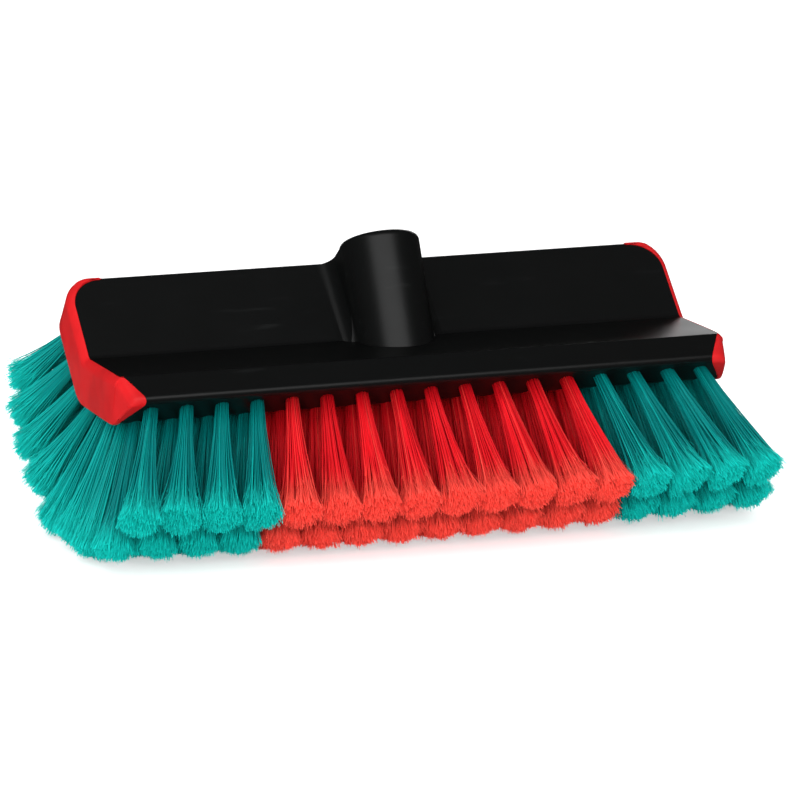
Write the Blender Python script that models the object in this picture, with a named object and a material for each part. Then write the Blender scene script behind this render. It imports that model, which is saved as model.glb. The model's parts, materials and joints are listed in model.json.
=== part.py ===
"""Angled vehicle wash brush: a bent block with a handle socket, two soft end
bumpers and nine rows of tufts that fan out from its convex side.

Lengths are in metres. The block is first drawn in a working frame whose origin
is the crease between wing and flange, with +X to the right, +Y to the back and
+Z up. At the end the whole brush moves so that it stands on z = 0, with the
origin under the middle of its bounding box.
"""

import math

import bmesh
import bpy
from mathutils import Matrix, Vector

# Fits and cuts
GAP = 0.0003
OVERRUN = 0.020

# Block section: wing, flange, nose and base
BLOCK_THICKNESS = 0.0205
WING_WIDTH = 0.0425
WING_LEAN = math.radians(46)
FLANGE_WIDTH = 0.045
RIDGE_RISE = 0.0008
NOSE_REACH = 0.057
NOSE_DROP = 0.008
BASE_FRONT = 0.041

CREASE_RADIUS = 0.004
WING_FRONT_RADIUS = 0.002
WING_BACK_RADIUS = 0.004
RIDGE_RADIUS = 0.0015
NOSE_RADIUS = 0.0025
BASE_FRONT_RADIUS = 0.008
BASE_BACK_RADIUS = 0.016

# Ends of the block and the bumpers
BLOCK_LENGTH = 0.2812
END_CORNER_RADIUS = 0.015
BUMPER_BAND = 0.0032
BUMPER_TOP_BAND = 0.0016
BUMPER_TOP_REACH = 0.0010
BUMPER_PROUD = 0.0008
BUMPER_END_RADIUS = 0.0025
NOSE_CORNER_LENGTH = 0.014
BLOCK_NOSE_CORNER_DEPTH = 0.0090
BUMPER_NOSE_CORNER_DEPTH = 0.0045
TONGUE_INSET = 0.006
TONGUE_LENGTH = 0.0012
TONGUE_SHORTENING = 0.006

# Handle socket
SOCKET_DIAMETER = 0.0356
SOCKET_LEAN = math.radians(26)
SOCKET_MOUTH_BACK = 0.0159
SOCKET_MOUTH_HEIGHT = 0.0410
SOCKET_RIM_RADIUS = 0.0030
BORE_DIAMETER = 0.0246
BORE_TAPER = 0.0012
BORE_DEPTH = 0.036
BORE_CHAMFER = 0.0010
WEB_DROP = 0.0026
WEB_FLARE = 0.0080
WEB_FLARE_HEIGHT = 0.0080
WEB_SINK = 0.0050
WEB_EDGE_SINK = 0.0010
WEB_TOP_MARGIN = 0.0012
WEB_FOOT = 0.0040

# Tuft rows, numbered from the front; rows with no length share stand on the floor
ROW_LEANS = tuple(math.radians(a) for a in (-41, -25, -12, 1, 16, 34, 43, 47.5, 50.5))
FREE_LENGTH_SHARES = {1: 0.97, 2: 1.0, 6: 0.97, 7: 1.0, 8: 0.96, 9: 0.87}
TUFT_LENGTH = 0.060
FIRST_ROW_INSET = 0.0052
LAST_ROW_INSET = 0.0070
END_TUFT_INSET = 0.0110
FRONT_END_TUFT_INSET = 0.0148
TUFTS_EACH_SIDE = 8
RED_TUFTS_EACH_SIDE = 4
LOWEST_ROW = 4
FLAT_CUT = 0.0005
END_SPLAY = math.radians(19.8)
FRONT_END_SPLAY = math.radians(17.5)
FRONT_ROWS = 2

# Backing slice under each group of tufts
SLICE_DEPTH = 0.004
SLICE_MARGIN = 0.0010

# Strands of one tuft
STRANDS = 3
STRAND_SIDES = 3
ROOT_CIRCLE = 0.0017
ROOT_STRAND_RADIUS = 0.0013
TIP_CIRCLE_X = 0.0058
TIP_CIRCLE_Y = 0.0036
TIP_STRAND_RADIUS = 0.0029
STRAND_SINK = 0.0020

# Fineness of round pieces
ARC_STEP = math.radians(15)
SOCKET_SIDES = 48
RIM_STEPS = 4
BUMPER_END_STEPS = 3
SMOOTH_LIMIT = math.radians(30)

# Colours as displayed values from 0 to 255
BLACK_COLOUR = (18, 20, 19)
BUMPER_COLOUR = (214, 32, 36)
RED_COLOUR = (224, 34, 38)
TEAL_COLOUR = (0, 150, 136)
BLOCK_ROUGHNESS = 0.38
BUMPER_ROUGHNESS = 0.45
BRISTLE_ROUGHNESS = 0.5

# Worked out from the sizes above
HALF_LENGTH = BLOCK_LENGTH / 2
WING_DIRECTION = Vector((math.sin(WING_LEAN), math.cos(WING_LEAN)))
WING_BACKWARD = Vector((math.cos(WING_LEAN), -math.sin(WING_LEAN)))
SOCKET_AXIS = Vector((0, math.sin(SOCKET_LEAN), math.cos(SOCKET_LEAN)))
SOCKET_MOUTH = Vector((0, SOCKET_MOUTH_BACK, SOCKET_MOUTH_HEIGHT))
LOWEST_LEAN = ROW_LEANS[LOWEST_ROW - 1]
STANDING_DEPTH = BLOCK_THICKNESS + TUFT_LENGTH * math.cos(LOWEST_LEAN) - FLAT_CUT


def clear_scene():
    for item in list(bpy.data.objects):
        bpy.data.objects.remove(item, do_unlink=True)


def linear(level):
    """A displayed colour value from 0 to 255 as a linear one from 0 to 1."""
    share = level / 255
    if share <= 0.04045:
        return share / 12.92
    return ((share + 0.055) / 1.055) ** 2.4


def plastic(name, colour, roughness):
    material = bpy.data.materials.new(name)
    material.use_nodes = True
    shader = material.node_tree.nodes["Principled BSDF"]
    shader.inputs["Base Color"].default_value = (*map(linear, colour), 1)
    shader.inputs["Roughness"].default_value = roughness
    shader.inputs["Metallic"].default_value = 0
    return material


def add_object(name, body):
    """Turn a bmesh into an object of the scene and free the bmesh."""
    bmesh.ops.recalc_face_normals(body, faces=body.faces)
    mesh = bpy.data.meshes.new(name)
    body.to_mesh(mesh)
    body.free()
    item = bpy.data.objects.new(name, mesh)
    bpy.context.collection.objects.link(item)
    return item


def combine(item, others, operation):
    """Apply one Boolean step for each other object and delete that object."""
    for other in others:
        step = item.modifiers.new("combine", "BOOLEAN")
        step.operation = operation
        step.solver = "EXACT"
        step.object = other
        graph = bpy.context.evaluated_depsgraph_get()
        mesh = bpy.data.meshes.new_from_object(item.evaluated_get(graph))
        item.modifiers.clear()
        old = item.data
        item.data = mesh
        bpy.data.meshes.remove(old)
        bpy.data.objects.remove(other, do_unlink=True)


def finish(item, material):
    item.data.materials.clear()
    item.data.materials.append(material)
    item.data.shade_smooth()
    item.data.set_sharp_from_angle(angle=SMOOTH_LIMIT)


# Plane outlines: a corner is (first coordinate, second coordinate, radius)


def meeting_point(point_a, along_a, point_b, along_b):
    """Where two lines of the plane cross."""
    across = along_a.x * along_b.y - along_a.y * along_b.x
    offset = point_b - point_a
    return point_a + along_a * ((offset.x * along_b.y - offset.y * along_b.x) / across)


def grow_corners(corners, distance):
    """Move every edge of an anticlockwise outline out by a distance."""
    points = [Vector(corner[:2]) for corner in corners]
    count = len(points)
    alongs = [(points[(i + 1) % count] - points[i]).normalized() for i in range(count)]
    grown = []
    for i in range(count):
        before, after = alongs[i - 1], alongs[i]
        turn = before.x * after.y - before.y * after.x
        start = points[i] + Vector((before.y, -before.x)) * distance
        end = points[i] + Vector((after.y, -after.x)) * distance
        point = meeting_point(start, before, end, after)
        radius = corners[i][2] + (distance if turn > 0 else -distance)
        grown.append((point.x, point.y, max(radius, 0)))
    return grown


def rounded_corner(corners, i):
    """The points that round one corner off, and their outward directions."""
    count = len(corners)
    point = Vector(corners[i][:2])
    radius = corners[i][2]
    before = (point - Vector(corners[i - 1][:2])).normalized()
    after = (Vector(corners[(i + 1) % count][:2]) - point).normalized()
    turn = math.atan2(before.x * after.y - before.y * after.x, before.dot(after))
    reach = radius * math.tan(abs(turn) / 2)
    side = math.copysign(1, turn)
    centre = point - before * reach + Vector((-before.y, before.x)) * radius * side
    steps = max(1, round(abs(turn) / ARC_STEP))
    points = []
    for k in range(steps + 1):
        angle = turn * k / steps
        cosine, sine = math.cos(angle), math.sin(angle)
        out = Vector((before.y, -before.x))
        out = Vector((out.x * cosine - out.y * sine, out.x * sine + out.y * cosine))
        points.append((centre + out * radius * side, out))
    return points if radius > 0 else [points[0]]


def rounded_outline(corners):
    return [p for i in range(len(corners)) for p, out in rounded_corner(corners, i)]


def section_corners():
    """The block's section, as (y, z, radius), anticlockwise seen from +X."""
    wing_top = WING_DIRECTION * WING_WIDTH
    wing_back = wing_top + WING_BACKWARD * BLOCK_THICKNESS
    base_back = meeting_point(
        wing_back, WING_DIRECTION, Vector((0, -BLOCK_THICKNESS)), Vector((1, 0))
    )
    return [
        (wing_top.x, wing_top.y, WING_FRONT_RADIUS),
        (0, 0, CREASE_RADIUS),
        (-FLANGE_WIDTH, RIDGE_RISE, RIDGE_RADIUS),
        (-NOSE_REACH, -NOSE_DROP, NOSE_RADIUS),
        (-BASE_FRONT, -BLOCK_THICKNESS, BASE_FRONT_RADIUS),
        (base_back.x, base_back.y, BASE_BACK_RADIUS),
        (wing_back.x, wing_back.y, WING_BACK_RADIUS),
    ]


CORNERS = section_corners()
WING_TOP_CORNER, CREASE_CORNER, RIDGE_CORNER, NOSE_CORNER = range(4)
BASE_FRONT_CORNER, BASE_BACK_CORNER, WING_BACK_CORNER = range(4, 7)


def tuft_side():
    """The convex side from nose to wing top: points and outward directions."""
    path = [rounded_corner(CORNERS, NOSE_CORNER)[-1]]
    path += rounded_corner(CORNERS, BASE_FRONT_CORNER)
    path += rounded_corner(CORNERS, BASE_BACK_CORNER)
    path.append(rounded_corner(CORNERS, WING_BACK_CORNER)[0])
    return path


TUFT_SIDE = tuft_side()


def side_lengths():
    lengths = [0.0]
    for (a, _), (b, _) in zip(TUFT_SIDE, TUFT_SIDE[1:]):
        lengths.append(lengths[-1] + (b - a).length)
    return lengths


SIDE_LENGTHS = side_lengths()


def side_point(length):
    """Point and outward direction at a length along the tuft side."""
    for k in range(1, len(SIDE_LENGTHS)):
        if length <= SIDE_LENGTHS[k] or k == len(SIDE_LENGTHS) - 1:
            start, end = TUFT_SIDE[k - 1], TUFT_SIDE[k]
            share = (length - SIDE_LENGTHS[k - 1]) / (SIDE_LENGTHS[k] - SIDE_LENGTHS[k - 1])
            return start[0].lerp(end[0], share), start[1].lerp(end[1], share).normalized()


def side_points(start, end):
    """Every point of the tuft side between two lengths along it."""
    inner = [TUFT_SIDE[k] for k, s in enumerate(SIDE_LENGTHS) if start < s < end]
    return [side_point(start), *inner, side_point(end)]


# Solids


def add_prism(name, outline, start, end, frame=None):
    """Extrude an outline; frame turns (outline, outline, height) into space."""
    frame = frame or Matrix(((0, 0, 1), (1, 0, 0), (0, 1, 0))).to_4x4()
    body = bmesh.new()
    verts = [body.verts.new(frame @ Vector((p.x, p.y, start))) for p in outline]
    face = body.faces.new(verts)
    moved = bmesh.ops.extrude_face_region(body, geom=[face])
    rise = frame.to_3x3() @ Vector((0, 0, end - start))
    tops = [g for g in moved["geom"] if isinstance(g, bmesh.types.BMVert)]
    bmesh.ops.translate(body, vec=rise, verts=tops)
    return add_object(name, body)


def add_hull(name, points):
    body = bmesh.new()
    for point in points:
        body.verts.new(point)
    bmesh.ops.convex_hull(body, input=body.verts)
    return add_object(name, body)


def add_turned(name, rings, frame):
    """Turned solid of (radius, height) rings, closed by its two end faces."""
    body = bmesh.new()
    loops = []
    for radius, height in rings:
        loop = []
        for k in range(SOCKET_SIDES):
            angle = math.tau * k / SOCKET_SIDES
            place = Vector((radius * math.cos(angle), radius * math.sin(angle), height))
            loop.append(body.verts.new(frame @ place))
        loops.append(loop)
    for low, high in zip(loops, loops[1:]):
        for k in range(SOCKET_SIDES):
            after = (k + 1) % SOCKET_SIDES
            body.faces.new((low[k], low[after], high[after], high[k]))
    body.faces.new(loops[0])
    body.faces.new(loops[-1])
    return add_object(name, body)


def wing_frame():
    """Outline x stays X, outline y runs up the wing, height runs through it."""
    up = Vector((0, WING_DIRECTION.x, WING_DIRECTION.y))
    back = Vector((0, WING_BACKWARD.x, WING_BACKWARD.y))
    return Matrix((Vector((1, 0, 0)), up, back)).transposed().to_4x4()


def wing_stencil(name, half, top, radius, band_reach=None):
    """Room inside the wing's end outline; a band reach cuts the top back."""
    below = -NOSE_REACH - OVERRUN
    corners = [
        (-half, below, 0),
        (half, below, 0),
        (half, top, radius),
        (-half, top, radius),
    ]
    if band_reach is not None:
        shoulder = half - radius - band_reach
        above = top + OVERRUN
        corners[3:] = [
            (shoulder, top, 0),
            (shoulder, above, 0),
            (-shoulder, above, 0),
            (-shoulder, top, 0),
            (-half, top, radius),
        ]
    depth = BLOCK_THICKNESS + OVERRUN + NOSE_REACH
    return add_prism(name, rounded_outline(corners), -depth, depth, wing_frame())


def plan_stencil(name, half, corner_depth):
    """Room inside the plan outline, whose front corners are cut off."""
    corner_start = -NOSE_REACH + NOSE_CORNER_LENGTH
    slope = corner_depth / NOSE_CORNER_LENGTH
    far_half = half - slope * (NOSE_CORNER_LENGTH + OVERRUN)
    front = -NOSE_REACH - OVERRUN
    back = WING_WIDTH + BLOCK_THICKNESS + OVERRUN
    outline = [
        Vector((-far_half, front)),
        Vector((far_half, front)),
        Vector((half, corner_start)),
        Vector((half, back)),
        Vector((-half, back)),
        Vector((-half, corner_start)),
    ]
    depth = WING_WIDTH + BLOCK_THICKNESS + OVERRUN
    return add_prism(name, outline, -depth, depth, Matrix.Identity(4))


def block_room(clearance):
    """The two stencils that bound the block between its bumpers."""
    half = HALF_LENGTH - BUMPER_BAND + clearance
    radius = END_CORNER_RADIUS - BUMPER_BAND / 2
    top = WING_WIDTH - BUMPER_TOP_BAND + clearance
    reach = BUMPER_TOP_REACH - clearance
    return [
        wing_stencil("block_wing_room", half, top, radius, reach),
        plan_stencil("block_plan_room", half, BLOCK_NOSE_CORNER_DEPTH),
    ]


def bumper_room():
    top = WING_WIDTH + BUMPER_PROUD
    return [
        wing_stencil("bumper_wing_room", HALF_LENGTH, top, END_CORNER_RADIUS),
        plan_stencil("bumper_plan_room", HALF_LENGTH, BUMPER_NOSE_CORNER_DEPTH),
    ]


# Block with socket


def block_outline():
    """The block's section with the room for the backing slices taken out."""
    first = SLICE_MARGIN
    last = SIDE_LENGTHS[-1] - SLICE_MARGIN
    hollow = [p - out * (SLICE_DEPTH + GAP) for p, out in side_points(first, last)]
    outline = []
    for i in (WING_TOP_CORNER, CREASE_CORNER, RIDGE_CORNER, NOSE_CORNER):
        outline += [p for p, out in rounded_corner(CORNERS, i)]
    outline.append(side_point(first)[0])
    outline += hollow
    outline.append(side_point(last)[0])
    outline += [p for p, out in rounded_corner(CORNERS, WING_BACK_CORNER)]
    return outline


def tongue_outline(clearance):
    """Section of the tongue that carries a bumper, or of its pocket."""
    base_back = CORNERS[BASE_BACK_CORNER][:2]
    top = WING_DIRECTION * (WING_WIDTH - TONGUE_SHORTENING)
    back = top + WING_BACKWARD * BLOCK_THICKNESS
    front = -FLANGE_WIDTH + TONGUE_SHORTENING
    sharp = [
        (top.x, top.y, 0),
        (0, 0, 0),
        (front, 0, 0),
        (front, -BLOCK_THICKNESS, 0),
        (*base_back, BASE_BACK_RADIUS),
        (back.x, back.y, 0),
    ]
    return rounded_outline(grow_corners(sharp, clearance - TONGUE_INSET))


def add_tongues(clearance, length):
    """Both tongues, or the two solids that cut their pockets."""
    start = HALF_LENGTH - BUMPER_BAND
    outline = tongue_outline(clearance)
    return [
        add_prism("tongue", outline, start - SLICE_DEPTH, start + length),
        add_prism("tongue", outline, -start - length, -start + SLICE_DEPTH),
    ]


def socket_frame():
    """Height runs along the socket axis, from the mouth's centre outwards."""
    forward = Vector((0, -SOCKET_AXIS.z, SOCKET_AXIS.y))
    turn = Matrix((Vector((1, 0, 0)), -forward, SOCKET_AXIS)).transposed().to_4x4()
    return Matrix.Translation(SOCKET_MOUTH) @ turn


def add_socket_shell():
    """The socket's outside, without its bore, with a rounded rim."""
    radius = SOCKET_DIAMETER / 2
    bottom = -(SOCKET_MOUTH_HEIGHT + BLOCK_THICKNESS / 2) / SOCKET_AXIS.z
    rings = [(radius, bottom), (radius, -SOCKET_RIM_RADIUS)]
    for k in range(1, RIM_STEPS + 1):
        angle = math.pi / 2 * k / RIM_STEPS
        ring_radius = radius - SOCKET_RIM_RADIUS * (1 - math.cos(angle))
        rings.append((ring_radius, SOCKET_RIM_RADIUS * (math.sin(angle) - 1)))
    shell = add_turned("socket_shell", rings, socket_frame())
    combine(shell, [base_cutter()], "DIFFERENCE")
    return shell


def base_cutter():
    """Everything below the middle of the flange, cut from the socket's foot."""
    depth = BLOCK_THICKNESS / 2
    reach = SOCKET_DIAMETER + OVERRUN
    corners = [(-reach, -reach), (reach, -reach), (reach, reach), (-reach, reach)]
    outline = [Vector(corner) for corner in corners]
    return add_prism("base_cutter", outline, -depth - reach, -depth, Matrix.Identity(4))


def wing_point(half, along, above):
    """A point at X = half, along the wing and above its front face."""
    place = WING_DIRECTION * along - WING_BACKWARD * above
    return Vector((half, place.x, place.y))


def add_webs():
    """The fairing behind the socket and its flared foot on the wing."""
    narrow = SOCKET_DIAMETER / 2 - GAP
    wide = SOCKET_DIAMETER / 2 + WEB_FLARE
    high = SOCKET_MOUTH - SOCKET_AXIS * WEB_DROP
    low = SOCKET_MOUTH - SOCKET_AXIS * BORE_DEPTH
    top = WING_WIDTH - WEB_TOP_MARGIN
    fairing = []
    flare = []
    for side in (-1, 1):
        for end in (high, low):
            fairing.append(Vector((side * narrow, end.y, end.z)))
        for along in (WEB_FOOT, top):
            fairing.append(wing_point(side * narrow, along, -WEB_SINK))
            flare.append(wing_point(side * wide, along, -WEB_EDGE_SINK))
            flare.append(wing_point(side * narrow, along, -WEB_SINK))
            flare.append(wing_point(side * (narrow - WEB_FLARE), along, WEB_FLARE_HEIGHT))
    return [add_hull("fairing", fairing), add_hull("flare", flare)]


def add_bore():
    """The blind bore, slightly narrower at its bottom, with a chamfered mouth."""
    mouth = BORE_DIAMETER / 2
    rings = [
        (mouth - BORE_TAPER / 2, -BORE_DEPTH),
        (mouth, -BORE_CHAMFER),
        (mouth + BORE_CHAMFER, 0),
        (mouth + BORE_CHAMFER, OVERRUN),
    ]
    return add_turned("bore", rings, socket_frame())


def build_back(material):
    start = -HALF_LENGTH
    back = add_prism("brush_back", block_outline(), start, -start)
    combine(back, block_room(0), "INTERSECT")
    combine(back, add_tongues(0, TONGUE_LENGTH), "UNION")
    combine(back, [add_socket_shell(), *add_webs()], "UNION")
    combine(back, [add_bore()], "DIFFERENCE")
    finish(back, material)


# Bumpers


def add_bumper_blank(name, side):
    """Prism of the section, a little proud, its outer end rounded over."""
    rings = [(HALF_LENGTH - END_CORNER_RADIUS - OVERRUN, 0)]
    for k in range(BUMPER_END_STEPS + 1):
        angle = math.pi / 2 * k / BUMPER_END_STEPS
        inset = BUMPER_END_RADIUS * (1 - math.cos(angle))
        rings.append((HALF_LENGTH + BUMPER_END_RADIUS * (math.sin(angle) - 1), inset))
    body = bmesh.new()
    loops = []
    for x, inset in rings:
        corners = grow_corners(CORNERS, BUMPER_PROUD - inset)
        loops.append([body.verts.new((side * x, *p)) for p in rounded_outline(corners)])
    for low, high in zip(loops, loops[1:]):
        bmesh.ops.bridge_loops(body, edges=loop_edges(body, low) + loop_edges(body, high))
    body.faces.new(loops[0])
    body.faces.new(loops[-1])
    return add_object(name, body)


def loop_edges(body, loop):
    """The edges round a closed loop of vertices, made where they are missing."""
    edges = []
    for a, b in zip(loop, loop[1:] + loop[:1]):
        edges.append(body.edges.get((a, b)) or body.edges.new((a, b)))
    return edges


def join_stencils(name, stencils):
    """The common room of two stencils, as one solid."""
    room = stencils[0]
    combine(room, stencils[1:], "INTERSECT")
    room.name = name
    return room


def build_bumper(name, side, material):
    bumper = add_bumper_blank(name, side)
    combine(bumper, bumper_room(), "INTERSECT")
    combine(bumper, [join_stencils("room", block_room(GAP))], "DIFFERENCE")
    combine(bumper, add_tongues(GAP, TONGUE_LENGTH + GAP), "DIFFERENCE")
    finish(bumper, material)


# Bristles


def row_spacing():
    """The rows share the tuft side's length evenly."""
    room = SIDE_LENGTHS[-1] - FIRST_ROW_INSET - LAST_ROW_INSET
    return room / (len(ROW_LEANS) - 1)


def row_station(row):
    """Length along the tuft side at which a row's tufts stand."""
    return FIRST_ROW_INSET + (row - 1) * row_spacing()


def row_pitch(row):
    """Distance between a row's tufts; the front row is a little shorter."""
    inset = FRONT_END_TUFT_INSET if row == 1 else END_TUFT_INSET
    return (HALF_LENGTH - inset) / TUFTS_EACH_SIDE


def row_root(row):
    """Where a row's tufts leave the block, as a plane point (y, z)."""
    return side_point(row_station(row))[0]


def tuft_length(row):
    """Length of a straight tuft; a standing row reaches just past the floor."""
    if row in FREE_LENGTH_SHARES:
        return TUFT_LENGTH * FREE_LENGTH_SHARES[row]
    drop = STANDING_DEPTH + FLAT_CUT + row_root(row).y
    return drop / math.cos(ROW_LEANS[row - 1])


def slice_ends(row):
    """Where a row's backing slice starts and ends along the tuft side."""
    reach = (row_spacing() - GAP) / 2
    start = row_station(row) - reach
    end = row_station(row) + reach
    if row == 1:
        start = SLICE_MARGIN + GAP
    if row == len(ROW_LEANS):
        end = SIDE_LENGTHS[-1] - SLICE_MARGIN - GAP
    return start, end


def add_slice(name, row, start, end):
    points = side_points(*slice_ends(row))
    outline = [p for p, out in points]
    outline += [p - out * SLICE_DEPTH for p, out in reversed(points)]
    return add_prism(name, outline, start, end)


def add_strand(body, start, end, tip_turn, level):
    """A prism-like strand that widens to its tip, cut level if asked."""
    along = (end - start).normalized()
    across = Vector((1, 0, 0))
    across = (across - along * across.dot(along)).normalized()
    up = along.cross(across)
    rings = []
    for centre, radius in ((start, ROOT_STRAND_RADIUS), (end, TIP_STRAND_RADIUS)):
        ring = []
        for k in range(STRAND_SIDES):
            angle = tip_turn + math.tau * k / STRAND_SIDES
            place = centre + (across * math.cos(angle) + up * math.sin(angle)) * radius
            if level is not None and centre is end:
                place += along * ((level - place.z) / along.z)
            ring.append(body.verts.new(place))
        rings.append(ring)
    for k in range(STRAND_SIDES):
        after = (k + 1) % STRAND_SIDES
        body.faces.new((rings[0][k], rings[0][after], rings[1][after], rings[1][k]))
    body.faces.new(rings[0])
    body.faces.new(rings[1])


def add_tuft(body, row, column):
    """The strands of one tuft, on a small circle at the root and an oval tip."""
    lean = ROW_LEANS[row - 1]
    out = Vector((0, math.sin(lean), -math.cos(lean)))
    across = Vector((0, math.cos(lean), math.sin(lean)))
    root = Vector((column * row_pitch(row), *row_root(row)))
    end_splay = FRONT_END_SPLAY if row <= FRONT_ROWS else END_SPLAY
    splay = end_splay * column / TUFTS_EACH_SIDE
    along = out * math.cos(splay) + Vector((math.sin(splay), 0, 0))
    tip = root + along * tuft_length(row)
    level = None
    if row not in FREE_LENGTH_SHARES:
        level = max(tip.z, -STANDING_DEPTH)
    flip = 1 if column % 2 == 0 else -1
    for k in range(STRANDS):
        angle = math.tau * k / STRANDS + flip * math.pi / 2
        x, y = math.cos(angle), math.sin(angle)
        start = root + Vector((x, 0, 0)) * ROOT_CIRCLE + across * y * ROOT_CIRCLE
        end = tip + Vector((x, 0, 0)) * TIP_CIRCLE_X + across * y * TIP_CIRCLE_Y
        start -= (end - start).normalized() * STRAND_SINK
        add_strand(body, start, end, angle, level)


def build_bristles(name, row, columns, slice_start, slice_end, material):
    """One colour group of a row: its backing slice and its strands in one."""
    group = add_slice(name, row, slice_start, slice_end)
    combine(group, block_room(0), "INTERSECT")
    body = bmesh.new()
    for column in columns:
        add_tuft(body, row, column)
    combine(group, [add_object("strands", body)], "UNION")
    finish(group, material)


def build_row(row, red, teal):
    """The three colour groups of one row."""
    split = (RED_TUFTS_EACH_SIDE + 0.5) * row_pitch(row)
    last = TUFTS_EACH_SIDE
    inner = RED_TUFTS_EACH_SIDE
    groups = (
        ("left", range(-last, -inner), -HALF_LENGTH, -split - GAP / 2, teal),
        ("middle", range(-inner, inner + 1), -split + GAP / 2, split - GAP / 2, red),
        ("right", range(inner + 1, last + 1), split + GAP / 2, HALF_LENGTH, teal),
    )
    for word, columns, start, end, material in groups:
        name = f"bristles_row{row}_{word}"
        build_bristles(name, row, columns, start, end, material)


def stand_on_origin():
    """Move the brush so that the origin is under the middle of its box."""
    items = list(bpy.context.collection.objects)
    ys = [v.co.y for item in items for v in item.data.vertices]
    zs = [v.co.z for item in items for v in item.data.vertices]
    shift = Vector((0, -(min(ys) + max(ys)) / 2, -min(zs)))
    for item in items:
        item.data.transform(Matrix.Translation(shift))
    print("crease at y", round(shift.y, 6), "z", round(shift.z, 6))


def main():
    clear_scene()
    black = plastic("black_plastic", BLACK_COLOUR, BLOCK_ROUGHNESS)
    rubber = plastic("red_rubber", BUMPER_COLOUR, BUMPER_ROUGHNESS)
    red = plastic("red_bristle", RED_COLOUR, BRISTLE_ROUGHNESS)
    teal = plastic("teal_bristle", TEAL_COLOUR, BRISTLE_ROUGHNESS)
    build_back(black)
    build_bumper("left_bumper", -1, rubber)
    build_bumper("right_bumper", 1, rubber)
    for row in range(1, len(ROW_LEANS) + 1):
        build_row(row, red, teal)
    stand_on_origin()


main()
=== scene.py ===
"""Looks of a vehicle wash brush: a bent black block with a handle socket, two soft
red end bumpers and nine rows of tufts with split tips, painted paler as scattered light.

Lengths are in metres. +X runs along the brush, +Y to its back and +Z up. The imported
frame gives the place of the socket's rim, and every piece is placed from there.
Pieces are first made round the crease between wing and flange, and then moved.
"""

import math

import bmesh
import bpy
import numpy as np
from bpy.props import FloatProperty, FloatVectorProperty, IntProperty, PointerProperty
from mathutils import Matrix, Vector
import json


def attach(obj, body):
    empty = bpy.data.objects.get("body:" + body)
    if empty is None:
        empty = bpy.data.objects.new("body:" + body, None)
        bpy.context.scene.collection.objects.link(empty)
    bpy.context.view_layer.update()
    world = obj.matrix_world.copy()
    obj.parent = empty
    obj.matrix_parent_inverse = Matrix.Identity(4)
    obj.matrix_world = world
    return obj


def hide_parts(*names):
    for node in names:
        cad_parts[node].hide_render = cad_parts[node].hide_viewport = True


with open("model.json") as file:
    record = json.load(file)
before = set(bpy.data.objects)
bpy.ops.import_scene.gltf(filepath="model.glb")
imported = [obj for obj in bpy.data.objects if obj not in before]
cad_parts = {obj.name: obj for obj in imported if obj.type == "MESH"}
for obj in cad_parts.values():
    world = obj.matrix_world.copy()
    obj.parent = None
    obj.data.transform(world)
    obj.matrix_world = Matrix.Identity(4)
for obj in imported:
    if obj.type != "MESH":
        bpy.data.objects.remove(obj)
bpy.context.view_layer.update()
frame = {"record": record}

bl_info = {
    "name": "Vehicle wash brush",
    "version": (1, 0, 0),
    "blender": (4, 5, 0),
    "location": "3D View > Sidebar > Wash brush",
    "description": "Builds an angled wash brush with bumpers and split-tip tufts",
    "category": "Object",
}

# Fineness of the made shapes
ARC_STEP = math.radians(7.5)
SOCKET_SIDES = 96
RIM_STEPS = 6
FLARE_STEPS = 10
FAIRING_EDGE_STEPS = 4
BUMPER_END_STEPS = 9
BUMPER_EDGE_STEPS = 3
CORNER_STEPS = 6
STRAND_SIDES = 3
SMOOTH_LIMIT = math.radians(32)
BEVEL_LIMIT = math.radians(24)

# A length and an area that count as none
TINY_LENGTH = 1e-6
TINY_AREA = 1e-12

# Room that a cutter reaches past what it cuts
OVERRUN = 0.020

# The corners of the block's section, in the order of its outline, and the parts into
# which a bumper's grid cuts the edge that follows each. Front and back match.
WING_TOP, CREASE, RIDGE, NOSE, BASE_FRONT, BASE_BACK, WING_BACK = range(7)
EDGE_POINTS = (20, 18, 8, 8, 18, 20, 1)
SIDES = (("left", -1), ("right", 1))

# Rows from front to back: the lean of each, and its length as a share of a tuft's.
# Rows with no share stand on the floor, and so does the middle of the lowest one.
ROW_LEANS = tuple(math.radians(a) for a in (-41, -25, -12, 1, 16, 34, 43, 47.5, 50.5))
FREE_LENGTH_SHARES = {1: 0.97, 2: 1.0, 6: 0.97, 7: 1.0, 8: 0.96, 9: 0.87}
FRONT_ROWS, LOWEST_ROW, BACK_ROWS = 2, 4, 7

# Where a strand's rings lie along it, and their widths as shares of the full one
FILAMENT_STATIONS = np.array((-0.04, 0.25, 0.50, 0.72, 0.88, 1.0))
FILAMENT_TAPER = np.array((1.0, 1.05, 1.35, 1.60, 1.2, 0.0))
HAIR_STATIONS = np.array((0.0, 1.0))
HAIR_TAPER = np.array((1.0, 0.0))

# How much filaments differ: in metres, and as shares of a tuft's length or radius
BOW = 0.00035
STRAY = 0.0006
STAND_OFF = 3
TURN_SHAKE, RADIUS_SHAKE = 0.1, 0.03
LENGTH_SPREAD = 0.010
HAIR_END_SPREAD = 0.011
LAST_SPLIT = 0.92
SHORT_HAIR = 0.09
LIFT_LOW, LIFT_HIGH = 0.0002, 0.0012

# The strand map: each strand takes one of so many columns, and so its shade
STRAND_MAP = "OFBake"
SHADES = 64
MAP_MARGIN, MAP_SLANT, MAP_TOP = 0.1, 0.002, 0.9995
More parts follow.
